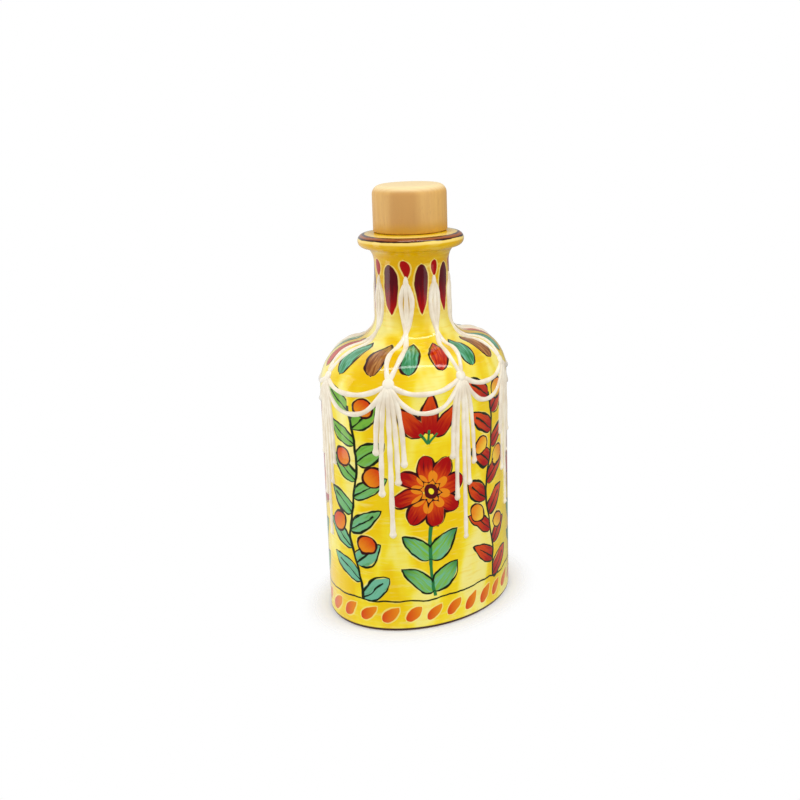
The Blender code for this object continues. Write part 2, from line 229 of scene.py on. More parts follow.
class Tone:
    """A value or colour inside a material. Arithmetic on it adds the nodes that work it out."""

    def __init__(self, tree, socket=None):
        self.tree = tree
        self.socket = socket

    def node(self, kind, settings, sockets, output=0):
        made = self.tree.nodes.new(kind)
        for name, value in settings.items():
            setattr(made, name, value)
        for name, value in sockets.items():
            if isinstance(value, Tone):
                self.tree.links.new(value.socket, made.inputs[name])
            else:
                made.inputs[name].default_value = value
        return Tone(self.tree, made.outputs[output])

    def output(self, name):
        return Tone(self.tree, self.socket.node.outputs[name])

    def math(self, operation, *others, clamped=False):
        settings = {"operation": operation, "use_clamp": clamped}
        return self.node("ShaderNodeMath", settings, dict(enumerate((self, *others))))

    def after(self, operation, first):
        return self.node("ShaderNodeMath", {"operation": operation}, {0: first, 1: self})

    def __add__(self, other):
        return self.math("ADD", other)

    def __sub__(self, other):
        return self.math("SUBTRACT", other)

    def __mul__(self, other):
        return self.math("MULTIPLY", other)

    def __truediv__(self, other):
        return self.math("DIVIDE", other)

    def __pow__(self, other):
        return self.math("POWER", other)

    def __radd__(self, first):
        return self.after("ADD", first)

    def __rsub__(self, first):
        return self.after("SUBTRACT", first)

    def __rmul__(self, first):
        return self.after("MULTIPLY", first)

    def __abs__(self):
        return self.math("ABSOLUTE")

    def larger(self, other):
        return self.math("MAXIMUM", other)

    def smaller(self, other):
        return self.math("MINIMUM", other)

    def ease(self, low, high, at_low=0.0, at_high=1.0):
        """Goes smoothly from one value to another while this one goes from low to high."""
        settings = {"interpolation_type": "SMOOTHSTEP"}
        sockets = {0: self, 1: low, 2: high, 3: at_low, 4: at_high}
        return self.node("ShaderNodeMapRange", settings, sockets)

    def blend(self, bare, covered):
        """The bare colour where this mask is 0, and the covered one where it is 1."""
        return self.node("ShaderNodeMix", {"data_type": "RGBA"}, {0: self, 6: bare, 7: covered}, 2)

    def noise(self, scale, detail=2.0, roughness=0.5, output="Fac"):
        sockets = {"Vector": self, "Scale": scale, "Detail": detail, "Roughness": roughness}
        return self.node("ShaderNodeTexNoise", {}, sockets, output)

    def stretched(self, x, y, z):
        """A place in space, squeezed or drawn out along each axis."""
        settings = {"operation": "MULTIPLY"}
        return self.node("ShaderNodeVectorMath", settings, {0: self, 1: (x, y, z)})

    def toward(self, aim):
        """How far a direction points the same way as the aim: 1 along it, 0 across, -1 against."""
        settings = {"operation": "DOT_PRODUCT"}
        return self.node("ShaderNodeVectorMath", settings, {0: self, 1: tuple(aim)}, "Value")

    def with_others(self, y, z):
        return self.node("ShaderNodeCombineXYZ", {}, {0: self, 1: y, 2: z})


def colour(red, green, blue):
    """A colour as a screen shows it, 0 to 255, turned into the strengths that light mixes in."""
    shares = (red / 255, green / 255, blue / 255)
    return (*(s / 12.92 if s <= 0.04045 else ((s + 0.055) / 1.055) ** 2.4 for s in shares), 1.0)


def new_finish(name):
    """A new material, its shader, and the place on the piece in metres, to build on."""
    finish = bpy.data.materials.new(name)
    finish.use_nodes = True
    shader = finish.node_tree.nodes["Principled BSDF"]
    return finish, shader, Tone(finish.node_tree).node("ShaderNodeTexCoord", {}, {}, "Object")


def feed(shader, name, tone):
    tone.tree.links.new(tone.socket, shader.inputs[name])


def emboss(shader, relief, strength, distance):
    """Gives a surface its fine relief, which only the light on it shows."""
    sockets = {"Strength": strength, "Distance": distance, "Height": relief}
    feed(shader, "Normal", relief.node("ShaderNodeBump", {}, sockets))


# The brush strokes. Each is worked out as a distance in metres from the stroke's edge, which is
# below zero inside it, so that strokes can be joined, haloed and outlined.
WET_EDGE = 0.00018
BLUNT = 0.5
LEAF_FOOT = 0.0027
LEAF_TAPER = 0.8
HAIR_FINENESS = 900.0
HAIR_DRAW = 0.12


def dab(along, across, length, width, taper):
    """One press of a loaded brush: round where it lands and drawn out to a tip where it lifts."""
    share = (along / length).math("ADD", 0.0, clamped=True)
    fullest = BLUNT / (BLUNT + taper)
    swell = width / 2 / (fullest**BLUNT * (1 - fullest) ** taper)
    half = share**BLUNT * (1 - share) ** taper * swell
    beyond = (along * -1).larger(along - length).larger(0.0)
    return abs(across) - half + beyond


def covered(distance, margin=0.0):
    """A mask for the inside of a stroke, with the soft edge of a glaze that has run a little."""
    return distance.ease(margin - WET_EDGE, margin + WET_EDGE, 1.0, 0.0)


def cut_off(distance, height, low, high):
    return distance.larger(low - height).larger(height - high)


def spaced(place, spacing):
    """Splits a length into equal spaces: how far from the middle of its space, and which space."""
    number = place.math("FLOOR")
    return (place - number - 0.5) * spacing, number


def spokes(x, y, count, turn):
    """Turns one spoke into a wheel of them: how far out, how far across, and which spoke."""
    reach = (x * x + y * y) ** 0.5
    lean, number = spaced(y.math("ARCTAN2", x) * (count / math.tau) + turn, math.tau / count)
    return reach * lean.math("COSINE"), reach * lean.math("SINE"), number


def leaf_row(x, up, start, step, count, lean, stagger, length, width):
    """Leaves up both sides of a stem: the stroke, its two directions and each leaf's number."""
    climb = (up - start + x.math("SIGN") * stagger) / step
    number = climb.math("FLOOR")
    foot = (climb - number) * step - LEAF_FOOT
    out = abs(x)
    along = out * math.sin(lean) + foot * math.cos(lean)
    across = out * math.cos(lean) - foot * math.sin(lean)
    leaf = cut_off(dab(along, across, length, width, LEAF_TAPER), number, -0.5, count - 0.5)
    return leaf, along, across, number


def bristles(along, across, number):
    """The streaks that the brush's hairs leave along a stroke."""
    return across.with_others(along * HAIR_DRAW, number).noise(HAIR_FINENESS, 2.0, 0.6)


# The glaze. What is painted on it is placed by the wall's map, with the small sway of a hand.
HAND_SWAY = 0.0044
LINE_DRIFT = 0.0040
glaze, glaze_shader, place = new_finish("glaze")
laid = place.node("ShaderNodeUVMap", {"uv_map": "wall"}, {}, "UV")
turn = laid.node("ShaderNodeSeparateXYZ", {}, {0: laid}, "X")
height = turn.output("Y")
wobble = place.noise(70.0, 3.0, 0.45, "Color")
sway = wobble.node("ShaderNodeSeparateColor", {}, {0: wobble}, "Red")
around = turn * PERIMETER + (sway - 0.5) * HAND_SWAY
up = height + (sway.output("Green") - 0.5) * HAND_SWAY
drift = (sway.output("Blue") - 0.5) * LINE_DRIFT

# The ground: a yellow glaze brushed on by hand, thin and lemon in places, thicker and ochre over
# the shoulder and on the neck, with the brush's level streaks in it.
LEMON = colour(255, 243, 148)
YELLOW = colour(255, 236, 48)
DEEP_YELLOW = colour(246, 206, 4)
OCHRE = colour(228, 176, 2)
SHOULDER_OCHRE = (0.108, 0.124)
NECK_OCHRE = (0.148, 0.166)
NECK_OCHRE_END = (0.1915, 0.1935)
patches = place.stretched(1.0, 1.0, 0.45).noise(42.0, 3.0, 0.55)
streaks = place.stretched(1.0, 1.0, 9.0).noise(75.0, 3.0, 0.6)
ground = patches.ease(0.42, 0.62).blend(YELLOW, DEEP_YELLOW)
ground = (patches.ease(0.51, 0.37) * 0.85).blend(ground, LEMON)
ground = (streaks.ease(0.5, 0.75) * 0.5).blend(ground, DEEP_YELLOW)
ground = (streaks.ease(0.47, 0.25) * 0.4).blend(ground, LEMON)
on_shoulder = height.ease(*SHOULDER_OCHRE)
ground = (on_shoulder * patches.ease(0.34, 0.60) * 0.62).blend(ground, OCHRE)
on_neck = height.ease(*NECK_OCHRE) * height.ease(*NECK_OCHRE_END, 1.0, 0.0)
ground = (on_neck * streaks.ease(0.3, 0.6, 0.45, 1.0)).blend(ground, OCHRE)

# Eight panels go round the body: a flower on its stem in each odd one, and in each even one a
# branch with leaves and oranges, such as painters of glazed ware have used everywhere.
PANELS = 8
PANEL_WIDTH = PERIMETER / PANELS
x, panel = spaced(around / PANEL_WIDTH + 0.5, PANEL_WIDTH)
branch_panel = 1.0 - panel.math("FLOORED_MODULO", 2.0)
flower_panel = 1.0 - branch_panel
panel_seed = panel.math("FLOORED_MODULO", PANELS)
chance = panel_seed.node(
    "ShaderNodeTexWhiteNoise", {"noise_dimensions": "1D"}, {"W": panel_seed}, "Value"
)

FLOWER_HEIGHT = 0.0660
PETALS = 8
PETAL_REACH, PETAL_LENGTH, PETAL_WIDTH, PETAL_TAPER = 0.0170, 0.0125, 0.0086, 0.55
INNER_REACH, INNER_LENGTH, INNER_WIDTH, INNER_TAPER = 0.0098, 0.0068, 0.0042, 0.6
flower_up = up - FLOWER_HEIGHT
petal_out, petal_across, petal_number = spokes(x, flower_up, PETALS, 0.25)
petal = dab(PETAL_REACH - petal_out, petal_across, PETAL_LENGTH, PETAL_WIDTH, PETAL_TAPER)
petal = petal + branch_panel
inner_out, inner_across, _ = spokes(x, flower_up, PETALS, 0.75)
inner_petal = dab(INNER_REACH - inner_out, inner_across, INNER_LENGTH, INNER_WIDTH, INNER_TAPER)
inner_petal = inner_petal + branch_panel
reach = (x * x + flower_up * flower_up) ** 0.5 + branch_panel

STEM_LOW, STEM_HIGH, STEM_HALF = 0.0165, 0.0500, 0.0009
STEM_SWAY, STEM_WAVE = 0.0014, 130.0
PAIRS, PAIR_STEP, PAIR_LENGTH, PAIR_WIDTH = 2, 0.0155, 0.0176, 0.0084
PAIR_LEAN = math.radians(50)
stem_x = x - (up * STEM_WAVE).math("SINE") * STEM_SWAY
stem = cut_off(abs(stem_x) - STEM_HALF, up, STEM_LOW, STEM_HIGH) + branch_panel
pair, pair_along, pair_across, pair_number = leaf_row(
    stem_x, up, STEM_LOW, PAIR_STEP, PAIRS, PAIR_LEAN, 0.0, PAIR_LENGTH, PAIR_WIDTH
)
pair = pair + branch_panel

BUD_HEIGHT, BUD_START, BUD_LENGTH, BUD_WIDTH, BUD_TAPER = 0.0880, 0.0045, 0.0178, 0.0080, 0.75
BUD_LEAN = math.radians(40)
STALK_HALF, STALK_LENGTH = 0.0006, 0.0065
bud_up = up - BUD_HEIGHT
bud_reach = (stem_x * stem_x + bud_up * bud_up) ** 0.5
bud_lean = stem_x.math("ARCTAN2", bud_up) / BUD_LEAN
bud_number = bud_lean.math("ROUND").larger(-1.0).smaller(1.0)
bud_turn = (bud_lean - bud_number) * BUD_LEAN
bud_out = bud_reach * bud_turn.math("COSINE")
bud_across = bud_reach * bud_turn.math("SINE")
bud = dab(bud_out - BUD_START, bud_across, BUD_LENGTH, BUD_WIDTH, BUD_TAPER) + branch_panel
bud_stalk = cut_off(abs(bud_across) - STALK_HALF, bud_out, 0.0, STALK_LENGTH) + branch_panel

BRANCH_LOW, BRANCH_HIGH, BRANCH_HALF, BRANCH_STUB = 0.0170, 0.1060, 0.0007, 0.002
BRANCH_SWAY, BRANCH_WAVE, BRANCH_START = 0.0024, 95.0, 6.0
LEAVES, LEAF_STEP, LEAF_LENGTH, LEAF_WIDTH = 6, 0.0160, 0.0176, 0.0078
LEAF_LEAN = math.radians(54)
LEAF_STAGGER = LEAF_STEP / 4
RIB_LENGTH = LEAF_LENGTH * 0.75
RIB_THINNING = 0.0001
branch_x = x - (up * BRANCH_WAVE + chance * BRANCH_START).math("SINE") * BRANCH_SWAY
branch = cut_off(abs(branch_x) - BRANCH_HALF, up, BRANCH_LOW - BRANCH_STUB, BRANCH_HIGH)
branch = branch + flower_panel
leaf, leaf_along, leaf_across, leaf_number = leaf_row(
    branch_x, up, BRANCH_LOW, LEAF_STEP, LEAVES, LEAF_LEAN, LEAF_STAGGER, LEAF_LENGTH, LEAF_WIDTH
)
leaf = leaf + flower_panel
leaf_rib = cut_off(abs(leaf_across) + RIB_THINNING, leaf_along, 0.0, RIB_LENGTH).larger(leaf)

FRUIT_STEP = LEAF_STEP * 2
FRUIT_START, FRUIT_REACH, FRUIT_RADIUS = 0.40, 0.0078, 0.0046
FRUIT_LOW, FRUIT_HIGH = 0.0300, 0.1080
fruit_climb = (up - BRANCH_LOW + branch_x.math("SIGN") * LEAF_STAGGER) / FRUIT_STEP - FRUIT_START
fruit_up, _ = spaced(fruit_climb, FRUIT_STEP)
fruit_out = abs(branch_x) - FRUIT_REACH
fruit = (fruit_out * fruit_out + fruit_up * fruit_up) ** 0.5 - FRUIT_RADIUS
fruit = cut_off(fruit, up - fruit_up, FRUIT_LOW, FRUIT_HIGH) + flower_panel

# Radial strokes over the shoulder, upright ones on the neck, and a row of slanting ones at the
# base under a thin ruled line.
STROKE_TAPER = 0.75
SHOULDER_STROKES, SHOULDER_LOW = 16, 0.120
SHOULDER_LENGTH, SHOULDER_WIDTH = 0.0215, 0.0082
RING_LENGTH, RING_SHRINK = 0.267, 5.35
SHOULDER_SWAY, NECK_SWAY = 0.25, 0.3
ring_length = RING_LENGTH - (height - SHOULDER_LOW) * RING_SHRINK
shoulder_place = turn * SHOULDER_STROKES + (sway - 0.5) * SHOULDER_SWAY
shoulder_across, shoulder_number = spaced(shoulder_place, ring_length / SHOULDER_STROKES)
shoulder_along = up - SHOULDER_LOW
shoulder = dab(shoulder_along, shoulder_across, SHOULDER_LENGTH, SHOULDER_WIDTH, STROKE_TAPER)

NECK_STROKE_TOP, NECK_STROKE_LENGTH, NECK_STROKE_WIDTH = 0.1785, 0.0225, 0.0066
DROP_TOP, DROP_LENGTH, DROP_WIDTH, DROP_TAPER = 0.1805, 0.0080, 0.0038, 0.8
NECK_SPACING = math.tau * NECK_RADIUS / PANELS
neck_across, neck_number = spaced(turn * PANELS + 0.5 + (sway - 0.5) * NECK_SWAY, NECK_SPACING)
neck_along = NECK_STROKE_TOP - up
neck_stroke = dab(neck_along, neck_across, NECK_STROKE_LENGTH, NECK_STROKE_WIDTH, STROKE_TAPER)
drop_across, _ = spaced(turn * PANELS + (sway - 0.5) * NECK_SWAY, NECK_SPACING)
drop = dab(DROP_TOP - up, drop_across, DROP_LENGTH, DROP_WIDTH, DROP_TAPER)

FOOT_STROKES, FOOT_HEIGHT, FOOT_LENGTH, FOOT_WIDTH = 28, 0.0082, 0.0098, 0.0050
FOOT_LEAN_ACROSS, FOOT_LEAN_UP, FOOT_START = 0.72, 0.69, 0.0044
RULED_HEIGHT, RULED_HALF = 0.0150, 0.0004
foot_across, _ = spaced(around / PERIMETER * FOOT_STROKES, PERIMETER / FOOT_STROKES)
foot_up = up - FOOT_HEIGHT
foot_along = foot_across * FOOT_LEAN_ACROSS + foot_up * FOOT_LEAN_UP + FOOT_START
foot_aside = foot_across * FOOT_LEAN_UP - foot_up * FOOT_LEAN_ACROSS
foot_stroke = dab(foot_along, foot_aside, FOOT_LENGTH, FOOT_WIDTH, STROKE_TAPER)
ruled_line = abs(up - RULED_HEIGHT) - RULED_HALF

# The pigments, each thin and light where the brush moved fast and dense where it landed.
RED = colour(172, 6, 6)
ORANGE_RED = colour(222, 76, 10)
ORANGE = colour(240, 140, 22)
GOLD = colour(252, 206, 60)
MAROON = colour(88, 8, 20)
LEAF_GREEN = colour(124, 186, 62)
DARK_GREEN = colour(44, 126, 66)
TEAL = colour(116, 190, 158)
BROWN = colour(132, 72, 26)
TAN = colour(190, 132, 70)
INK = colour(20, 34, 10)
PURPLE_INK = colour(54, 8, 14)
PALE = colour(253, 244, 160)

HALO = 0.0007
LEAF_SHADING, FRUIT_SHADING, FOOT_SHADING = 0.10, 0.0080, 0.006
nearest = petal
for stroke in (leaf, pair, bud, fruit, shoulder, neck_stroke, drop, foot_stroke):
    nearest = nearest.smaller(stroke)
painted = (covered(nearest, HALO) * 0.5).blend(ground, PALE)

leaf_hairs = bristles(leaf_along, leaf_across, leaf_number)
leaf_shade = up / LEAF_SHADING + (leaf_hairs - 0.5) * 0.9
leaf_colour = leaf_shade.ease(0.1, 1.0).blend(TEAL, LEAF_GREEN)
leaf_colour = (leaf_hairs.ease(0.5, 0.8) * 0.6).blend(leaf_colour, DARK_GREEN)
russet_shade = leaf_along / LEAF_LENGTH + (leaf_hairs - 0.5) * 1.2
russet = russet_shade.ease(0.1, 0.8).blend(RED, ORANGE_RED)
russet = (leaf_hairs.ease(0.58, 0.78) * 0.7).blend(russet, MAROON)
on_russet = panel_seed.math("FLOORED_MODULO", 4.0).math("COMPARE", 2.0, 0.5)
painted = covered(leaf).blend(painted, on_russet.blend(leaf_colour, russet))
pair_hairs = bristles(pair_along, pair_across, pair_number)
pair_colour = pair_hairs.ease(0.35, 0.7).blend(LEAF_GREEN, TEAL)
pair_colour = (pair_along / PAIR_LENGTH).ease(0.5, 1.1).blend(pair_colour, DARK_GREEN)
painted = covered(pair).blend(painted, pair_colour)
painted = covered(stem).blend(painted, DARK_GREEN)

FLOWER_EYE, FLOWER_CENTRE = 0.0036, 0.0014
petal_hairs = bristles(petal_out, petal_across, petal_number + panel_seed * 9.0)
petal_shade = petal_out / PETAL_REACH + (petal_hairs - 0.5) * 0.8
petal_colour = petal_shade.ease(0.30, 0.85).blend(ORANGE_RED, RED)
petal_colour = petal_hairs.ease(0.60, 0.78).blend(petal_colour, MAROON)
painted = covered(petal).blend(painted, petal_colour)
painted = covered(inner_petal).blend(painted, ORANGE)
painted = covered(reach - FLOWER_EYE).blend(painted, MAROON)
painted = covered(reach - FLOWER_CENTRE).blend(painted, YELLOW)
bud_hairs = bristles(bud_out, bud_across, bud_number)
bud_shade = bud_out / (BUD_START + BUD_LENGTH) + (bud_hairs - 0.5) * 0.7
painted = covered(bud).blend(painted, bud_shade.ease(0.3, 1.0).blend(RED, ORANGE_RED))
painted = covered(bud_stalk).blend(painted, DARK_GREEN)
fruit_shade = (fruit_out + fruit_up) / FRUIT_SHADING + 0.5 + (leaf_hairs - 0.5) * 0.5
orange_fruit = fruit_shade.blend(ORANGE, ORANGE_RED)
golden_fruit = fruit_shade.blend(GOLD, ORANGE)
painted = covered(fruit).blend(painted, on_russet.blend(orange_fruit, golden_fruit))

shoulder_hairs = bristles(shoulder_along, shoulder_across, shoulder_number)
shoulder_brown, shoulder_green, shoulder_red = (
    shoulder_hairs.ease(0.35, 0.7).blend(dense, thin)
    for dense, thin in ((BROWN, TAN), (DARK_GREEN, TEAL), (RED, ORANGE_RED))
)
shoulder_colour = shoulder_number.math("FLOORED_MODULO", 2.0).blend(shoulder_brown, shoulder_green)
shoulder_fourth = shoulder_number.math("FLOORED_MODULO", 4.0).math("COMPARE", 2.0, 0.5)
shoulder_colour = shoulder_fourth.blend(shoulder_colour, shoulder_red)
painted = covered(shoulder).blend(painted, shoulder_colour)
neck_hairs = bristles(neck_along, neck_across, neck_number)
neck_shade = neck_along / NECK_STROKE_LENGTH + (neck_hairs - 0.5) * 0.6
painted = covered(neck_stroke).blend(painted, neck_shade.ease(0.3, 0.95).blend(MAROON, RED))
painted = covered(drop).blend(painted, RED)
foot_colour = (foot_across / FOOT_SHADING + 0.5).blend(ORANGE_RED, ORANGE)
painted = covered(foot_stroke).blend(painted, foot_colour)

# Thin dark lines drawn over the colours with a liner brush, which never quite follow their edges.
THIN_LINE, BOLD_LINE = 0.00034, 0.00062
pressure = place.noise(140.0, 2.0, 0.5).ease(0.35, 0.65, THIN_LINE, BOLD_LINE)
red_line = abs(petal.smaller(bud).smaller(fruit) - drift) - pressure
green_line = abs(leaf.smaller(pair) - drift).smaller(leaf_rib).larger(fruit * -1) - pressure
shoulder_line = abs(shoulder - drift) - pressure
painted = covered(green_line.smaller(branch).smaller(ruled_line)).blend(painted, INK)
painted = covered(red_line.smaller(shoulder_line)).blend(painted, PURPLE_INK)

# The lip's brown band between two dark lines, laid as the bottle turned on a wheel. Painted
# highlight makes the lip's upper roll and top pale round the band, and painted shadow deepens the
# ochre under the lip's edge. The dark line round the foot, partly a painted line and partly painted
# shadow where the bottle meets the table, the cream glaze inside and the bare clay that the bottle
# stands on.
RIM_BROWN = colour(156, 84, 34)
RIM_HIGHLIGHT = colour(255, 226, 128)
LIP_SHADOW_OCHRE = colour(196, 148, 4)
CREAM = colour(246, 230, 176)
BARE_CLAY = colour(228, 208, 182)
RIM_SWAY = 0.0010
LIP_HIGHLIGHT_RISE = (-0.0002, 0.0006)
LIP_HIGHLIGHT_END = (0.0062, 0.0082)
LIP_SHADOW_REACH = (0.0006, 0.0016)
RIM_BAND, RIM_BAND_HALF = 0.0030, 0.0014
RIM_LINES = ((0.0018, 0.8), (0.0042, 1.2))
CREAM_START = 0.004
FOOT_LINE = (0.0013, 0.0018)
CLAY_EDGE = (0.0002, 0.0004)


def skin_length_at(radius, height):
    """How far up the skin the ring lies that is nearest to this radius and height."""
    wanted = (radius, radius, height)
    return min(zip(rings, skin_lengths), key=lambda found: math.dist(found[0], wanted))[1]


over_rim = height + (sway - 0.5) * RIM_SWAY - skin_length_at(*rim)
# Painted highlight: the lip's upper roll and top are made paler, as if lit from above.
lip_highlight = over_rim.ease(*LIP_HIGHLIGHT_RISE) * over_rim.ease(*LIP_HIGHLIGHT_END, 1.0, 0.0)
painted = (lip_highlight * 0.8).blend(painted, RIM_HIGHLIGHT)
# Painted shadow: a deeper ochre under the lip's edge, where the lip shades the neck.
lip_shadow = abs(height - skin_length_at(*under_edge)).ease(*LIP_SHADOW_REACH, 0.8, 0.0)
painted = lip_shadow.blend(painted, LIP_SHADOW_OCHRE)
painted = covered(abs(over_rim - RIM_BAND) - RIM_BAND_HALF).blend(painted, RIM_BROWN)
for line_middle, boldness in RIM_LINES:
    line = abs(over_rim - line_middle) - pressure * boldness
    painted = covered(line).blend(painted, PURPLE_INK)
inside = height.ease(skin_length_at(*mouth), skin_length_at(*bore_top) + CREAM_START)
painted = inside.blend(painted, CREAM)
# The dark line round the foot is partly a painted line and partly painted shadow where the bottle
# meets the table.
painted = height.ease(*FOOT_LINE, 1.0, 0.0).blend(painted, PURPLE_INK)
bare = height.ease(*CLAY_EDGE, 1.0, 0.0)
painted = bare.blend(painted, BARE_CLAY)
feed(glaze_shader, "Base Color", painted)

GLAZE_ROUGHNESS, CLAY_ROUGHNESS = 0.09, 0.79
GLAZE_IOR = 1.48
feed(glaze_shader, "Roughness", bare * (CLAY_ROUGHNESS - GLAZE_ROUGHNESS) + GLAZE_ROUGHNESS)
glaze_shader.inputs["IOR"].default_value = GLAZE_IOR
waves = place.noise(55.0, 2.0, 0.4) * 0.8 + streaks * 0.05 + covered(nearest) * 0.08
emboss(glaze_shader, waves, 0.5, 0.0008)
bottle.data.materials.append(glaze)

# White trails: thick white slip squeezed from a nozzle over the paint before the last firing. Eight
# tassels hang from knots between the panels, with beads where the nozzle stopped, swags join the
# knots, and pairs of lines cross over the shoulder and close in a leaf shape on the neck.
TRAIL_WIDTH = 0.0023
KNOT_UP = SIDE_HEIGHT + 0.0075
KNOT_RADIUS = 0.0026
KNOT_RELIEF = 0.0011
SWAG_SAG = 0.0135
SWAG_SAG_SHARES = (1.0, 0.4)
SWAG_PLACE_SHARES = (
    (0.04, 0.14),
    (0.14, 0.53),
    (0.30, 0.89),
    (0.50, 1.00),
    (0.70, 0.89),
    (0.86, 0.53),
    (0.96, 0.14),
)
TASSEL_LENGTH = 0.0740
STRAND_LENGTH_SHARES = (0.48, 0.74, 1.0, 0.66, 0.54)
MIDDLE_STRAND = 2
STRAND_SPACING = 0.0034
STRAND_PLACE_SHARES = ((0.12, 0.03), (0.62, 0.24), (0.92, 0.62), (1.0, 1.0))
LEAF_HALF_WIDTH = 0.0024
LINE_PLACE_SHARES = (
    (0.10, 0.03),
    (1.10, 0.30),
    (0.90, 0.57),
    (0.00, 0.83),
    (-0.85, 1.08),
    (-0.95, 1.26),
    (-0.15, 1.44),
)
RIB_PLACE_SHARES = ((0.0, 0.86), (0.0, 1.15), (0.0, 1.52))
HAND_STRAY = 0.0030
SPREAD_STRAY_SHARE = 0.25
SWAG_STRAY_SHARE = 0.25
STRAY_TURN = 12.9
BEAD, START_BEAD, TIP_BEAD = 1.35, 0.8, 0.6
END_STOPS = (
    0.00003, 0.0001, 0.0002, 0.0004, 0.0006, 0.0009, 0.0012, 0.0016, 0.0021, 0.0028, 0.0036
)
END_REACH = 0.004
STOP_SPACING = 0.0016
SQUEEZE_SHARE, SQUEEZE_WAVE, SQUEEZE_START = 0.10, 520, 900
CURVE_STEPS = 12
UNIT_RADIUS = 0.001
ROUND_STEPS = 5
trails = bpy.data.curves.new("slip_trails", "CURVE")
trails.dimensions = "3D"
trails.bevel_depth = UNIT_RADIUS
trails.bevel_resolution = ROUND_STEPS
trails.use_fill_caps = True


def skin_ring(length):
    """The outer skin's ring at a length up it: its half length, half width and height."""
    step = max(s for s in range(len(outer_rings) - 1) if skin_lengths[s] <= length)
    part = (length - skin_lengths[step]) / (skin_lengths[step + 1] - skin_lengths[step])
    return Vector(rings[step]).lerp(Vector(rings[step + 1]), part)


def skin_point(turn_share, length):
    """A point on the bottle's outer skin, from the share of the way round and the length up."""
    share = turn_share % 1.0
    side = max(s for s in range(SIDES) if round_shares[s] <= share)
    side += (share - round_shares[side]) / (round_shares[side + 1] - round_shares[side])
    along, across, height = skin_ring(length)
    angle = math.tau * side / SIDES
    return Vector((along * math.cos(angle), across * math.sin(angle), height))


def skin_normal(turn_share, length, turn_step=0.001, length_step=0.0005):
    """Which way the skin faces at a point on it."""
    ahead = skin_point(turn_share + turn_step, length) - skin_point(turn_share - turn_step, length)
    above = skin_point(turn_share, length + length_step)
    return ahead.cross(above - skin_point(turn_share, length - length_step)).normalized()


def beside(turn_share, across, length):
    """The place at this distance across from another, on the ring at this length up the skin."""
    ring = skin_ring(length)
    share = across / PERIMETER * (HALF_LENGTH + HALF_WIDTH) / (ring.x + ring.y)
    return turn_share + share, length


def stray(number):
    """How far the hand that squeezes the slip strays on trail or length number, up or down."""
    return HAND_STRAY * math.sin(number * STRAY_TURN)


def smoothed(route):
    """Many places along a soft curve through a route's few."""
    padded = [route[0], *route, route[-1]]
    places = []
    for before, here, there, beyond in zip(padded, padded[1:], padded[2:], padded[3:]):
        for step in range(CURVE_STEPS):
            t = step / CURVE_STEPS
            places.append([
                h + t * (n - b + t * (2 * b - 5 * h + 4 * n - f + t * (3 * h - b - 3 * n + f))) / 2
                for b, h, n, f in zip(before, here, there, beyond)
            ])
    return [*places, list(route[-1])]


def rounded_end(gone, full, bead):
    """Half the trail's width at a distance from an end, which closes in a round bead or a tip."""
    ball = bead * full / 2
    circle = math.sqrt(max(0, ball**2 - (gone - ball) ** 2)) if gone < 2 * ball else 0
    if bead < 1:
        return full / 2 * min(1, bead + (1 - bead) * gone / full) if gone > ball else circle
    return circle if gone < ball else (circle**4 + (full / 2) ** 4) ** 0.25


def squeeze(route, bead=TIP_BEAD):
    """One trail over the skin, along a route of pairs: share of the way round, and length up."""
    places = smoothed(route)
    points = [skin_point(*place) for place in places]
    gone = [0.0]
    for a, b in zip(points, points[1:]):
        gone.append(gone[-1] + (b - a).length)
    total = gone[-1]
    ends = [stop for stop in END_STOPS if stop < total / 2]
    middle = total - 2 * ends[-1]
    between = max(0, int(middle / STOP_SPACING))
    stops = ends + [ends[-1] + middle * (n + 1) / (between + 1) for n in range(between)]
    stops += [total - stop for stop in reversed(ends)]
    spline = trails.splines.new("POLY")
    spline.points.add(len(stops) - 1)
    for knob, stop in zip(spline.points, stops):
        step = max(s for s in range(len(gone) - 1) if gone[s] <= stop)
        part = (stop - gone[step]) / (gone[step + 1] - gone[step])
        place = [a + (b - a) * part for a, b in zip(places[step], places[step + 1])]
        wave = math.sin(stop * SQUEEZE_WAVE + total * SQUEEZE_START)
        full = TRAIL_WIDTH * (1 + SQUEEZE_SHARE * wave)
        half = rounded_end(stop, full, START_BEAD)
        if total - stop < END_REACH:
            half = rounded_end(total - stop, full, bead)
        relief = min(half, TRAIL_RELIEF * half / (TRAIL_WIDTH / 2))
        radius = (half**2 + relief**2) / (2 * relief)
        knob.co = (*(skin_point(*place) + skin_normal(*place) * (relief - radius)), 1)
        knob.radius = radius / trails.bevel_depth


climb = skin_length_at(NECK_RADIUS, SHOULDER_TOP) - KNOT_UP
for tassel in range(PANELS):
    knot = (tassel + 0.5) / PANELS
    for sag_share in SWAG_SAG_SHARES:
        sag = SWAG_SAG * sag_share + stray(tassel + sag_share) * SWAG_STRAY_SHARE
        squeeze([(knot + on / PANELS, KNOT_UP - sag * down) for on, down in SWAG_PLACE_SHARES])
    for number, length_share in enumerate(STRAND_LENGTH_SHARES):
        length = TASSEL_LENGTH * length_share + stray(tassel * PANELS + number)
        spread = (number - MIDDLE_STRAND) * STRAND_SPACING
        spread += stray(tassel + number * PANELS) * SPREAD_STRAY_SHARE
        squeeze([
            beside(knot, spread * across, KNOT_UP - length * down)
            for across, down in STRAND_PLACE_SHARES
        ], bead=BEAD)
    for mirror, shares in ((-1, LINE_PLACE_SHARES), (1, LINE_PLACE_SHARES), (0, RIB_PLACE_SHARES)):
        half_width = mirror * LEAF_HALF_WIDTH
        squeeze([
            beside(knot, half_width * across, KNOT_UP + climb * rise) for across, rise in shares
        ])

slip = bpy.data.objects.new("slip_trails", trails)
bpy.context.scene.collection.objects.link(slip)
bpy.ops.object.select_all(action="DESELECT")
slip.select_set(True)
bpy.context.view_layer.objects.active = slip
bpy.ops.object.convert(target="MESH")

